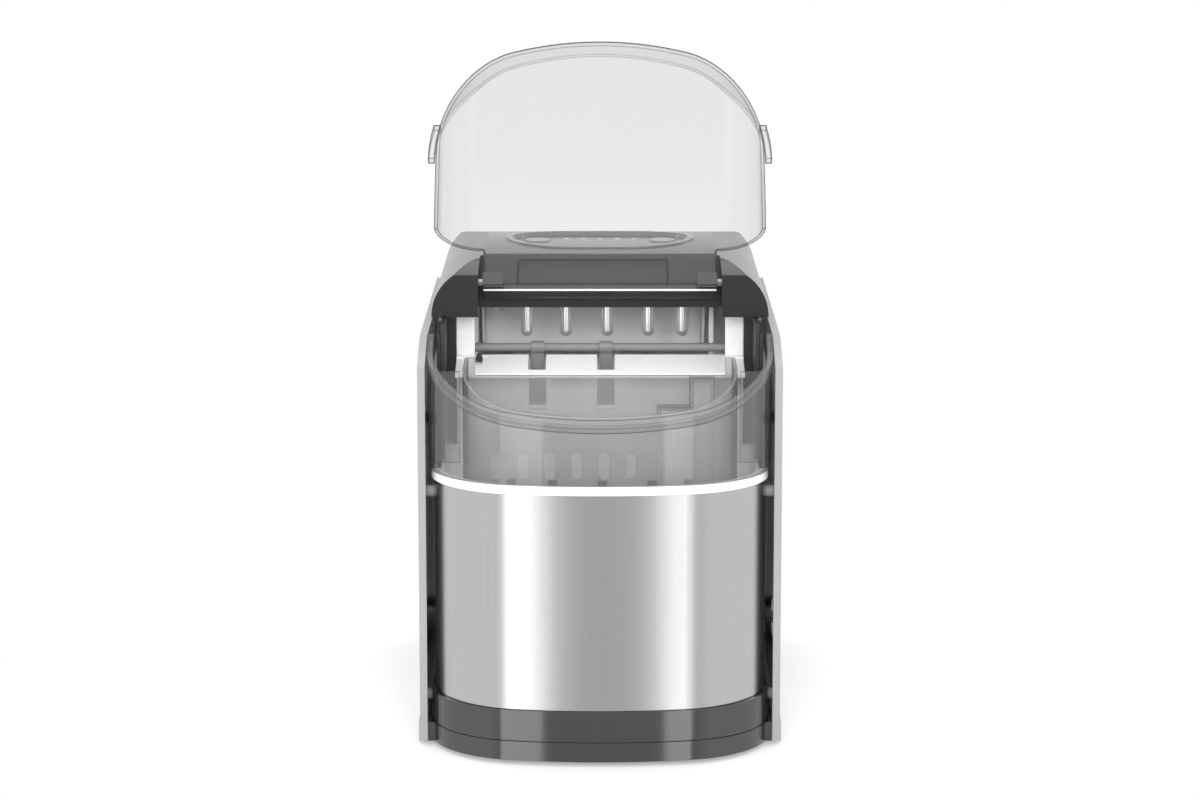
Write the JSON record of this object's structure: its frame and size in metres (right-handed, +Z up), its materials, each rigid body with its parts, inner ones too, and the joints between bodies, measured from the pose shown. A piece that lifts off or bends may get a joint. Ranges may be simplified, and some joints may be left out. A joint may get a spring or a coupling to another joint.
{
  "type": "countertop ice maker",
  "caption": "Countertop ice maker with bowed steel front, clear lift-up lid, smoke window and basket, and a tilting water tray under plated freezing fingers.",
  "frame": {"origin": "on the floor, midway between the two sides and midway between the front bow and the power inlet's rear face", "axes": "+X to the right as seen from the front, +Y to the back, +Z up"},
  "size_m": [0.243, 0.3604, 0.4598],
  "materials": {
    "black_gloss": "glossy",
    "base_gloss": "glossy",
    "black_matte": "satin",
    "grey_gloss": "glossy",
    "side_grey": "glossy",
    "rubber_black": "matte",
    "stainless": "brushed vertically",
    "white_plastic": "satin",
    "smoke_clear": "clear smoke-tinted plastic",
    "bead_clear": "clear plastic",
    "clear_lid": "clear, lightly smoked plastic",
    "smoke_dark": "dark smoked plastic",
    "basket_smoke": "translucent smoke plastic",
    "tray_grey": "satin",
    "finger_chrome": "polished nickel plate",
    "alu": "bare",
    "copper": "bare copper tube",
    "steel_zinc": "zinc plated",
    "black_paint": "black enamel",
    "motor_steel": "plated can",
    "foam": "foamed insulation",
    "translucent_white": "milky",
    "board_green": "solder-masked board",
    "light_pipe": "frosted light pipe",
    "button_grey": "satin",
    "bezel_grey": "glossy",
    "seal_red": "silicone"
  },
  "bodies": {
    "cabinet": {"base_pan": "base_gloss", "rubber_feet": "rubber_black", "kick_band": "base_gloss", "steel_front_panel": "stainless", "trim_ring": "white_plastic", "front_window": "smoke_clear", "window_bead": "bead_clear", "window_clips": "black_matte", "side_panel_left": "side_grey", "side_panel_right": "side_grey", "side_vent_grille": "black_matte", "cabinet_shell": "black_gloss", "inner_side_trims": "black_gloss", "chamber_liner": "white_plastic", "insulation_panel": "foam", "top_housing": "grey_gloss", "panel_bezel": "bezel_grey", "panel_plate": "black_gloss", "indicator_lights": "light_pipe", "control_board": "board_green", "rear_cover": "black_matte", "rear_screws": "steel_zinc", "power_inlet": "black_matte", "reservoir_legs": "black_matte", "water_reservoir": "translucent_white", "water_pump": "black_matte", "fill_hose": "translucent_white", "ice_full_sensor": "black_gloss", "ice_module_housing": "white_plastic", "evaporator_plate": "alu", "evaporator_fingers": "finger_chrome", "evaporator_tube": "copper", "tray_motor": "motor_steel", "pusher_motor": "motor_steel", "compressor": "black_paint", "compressor_mounts": "rubber_black", "condenser_fins": "alu", "condenser_tubes": "copper", "filter_drier": "copper", "suction_tube": "copper", "fan_shroud": "black_matte", "fan_motor": "motor_steel", "drain_port": "black_matte"},
    "lid": {"lid_shell": "clear_lid", "lid_hinge_bar": "black_gloss", "lid_hinge_rod": "steel_zinc", "lid_grip_tabs": "clear_lid", "lid_label_frame": "smoke_dark"},
    "basket": {"ice_basket": "basket_smoke"},
    "tray": {"water_tray": "tray_grey"},
    "pusher": {"ice_pusher": "bezel_grey"},
    "power_key": {"power_button": "button_grey"},
    "select_key": {"select_button": "button_grey"},
    "fan": {"condenser_fan": "black_matte"},
    "drain_plug": {"drain_cap": "black_matte", "drain_seal": "seal_red"}
  },
  "joints": [
    {"name": "lid_hinge", "type": "hinge", "parent": "cabinet", "child": "lid", "pos_m": [0, -0.027, 0.299], "axis": [-1, 0, 0], "range_deg": [-130, 0]},
    {"name": "basket_lift", "type": "slide", "parent": "cabinet", "child": "basket", "axis": [0, 0, 1], "range_m": [0, 0.13]},
    {"name": "tray_tilt", "type": "hinge", "parent": "cabinet", "child": "tray", "pos_m": [0, 0.044, 0.288], "axis": [1, 0, 0], "range_deg": [-90, 0]},
    {"name": "pusher_swing", "type": "hinge", "parent": "cabinet", "child": "pusher", "pos_m": [0, -0.015, 0.252], "axis": [1, 0, 0], "range_deg": [-70, 0]},
    {"name": "power_press", "type": "slide", "parent": "cabinet", "child": "power_key", "axis": [0, 0, -1], "range_m": [0, 0.0012], "stiffness_N_per_m": 400, "springref_m": -0.0005},
    {"name": "select_press", "type": "slide", "parent": "cabinet", "child": "select_key", "axis": [0, 0, -1], "range_m": [0, 0.0012], "stiffness_N_per_m": 400, "springref_m": -0.0005},
    {"name": "fan_spin", "type": "hinge", "parent": "cabinet", "child": "fan", "pos_m": [0.058, 0.128, 0.068], "axis": [0, 1, 0], "continuous": true},
    {"name": "drain_plug_pull", "type": "slide", "parent": "cabinet", "child": "drain_plug", "axis": [1, 0, 0], "range_m": [0, 0.03]}
  ]
}
